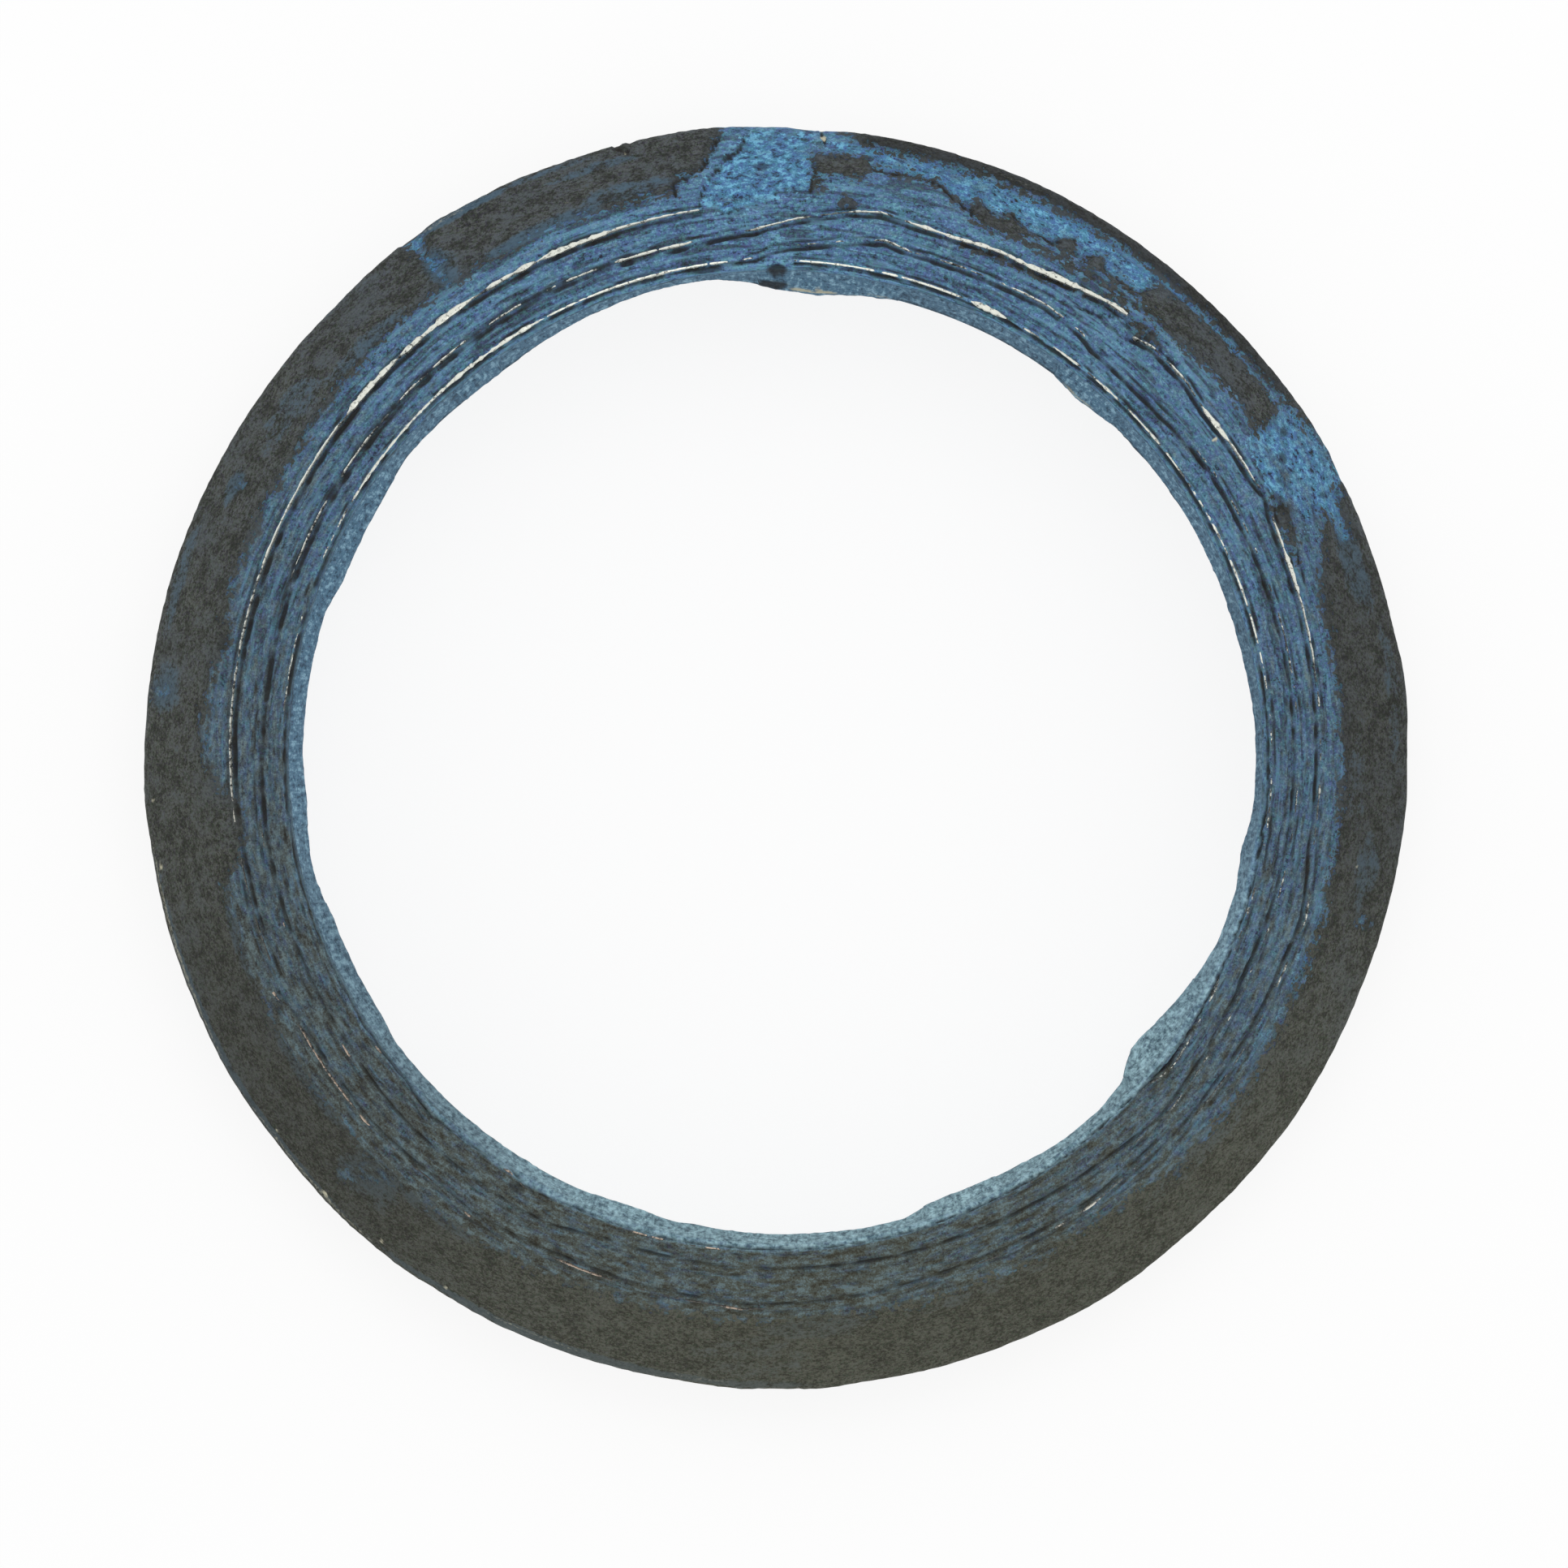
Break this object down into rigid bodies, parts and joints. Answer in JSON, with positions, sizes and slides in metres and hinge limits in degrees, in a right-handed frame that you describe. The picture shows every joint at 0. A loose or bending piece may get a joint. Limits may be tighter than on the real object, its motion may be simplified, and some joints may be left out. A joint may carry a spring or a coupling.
{
  "type": "exhaust gasket",
  "caption": "Spiral wound exhaust pipe ring gasket with a flat base, a plain bore and a conical outer seat, blue composite facing over a steel strip.",
  "frame": {"origin": "centre of the flat base, on the bore axis", "axes": "+Z along the bore axis, from the flat base towards the wound crest; the strip's cut end lies near +Y"},
  "size_m": [0.0714, 0.0714, 0.0128],
  "materials": {
    "facing": "matte blue composite facing with a dark pressed skin",
    "steel": "bare sheared steel edge"
  },
  "bodies": {
    "root": {"facing_ring": "facing", "steel_core": "steel"}
  },
  "joints": []
}
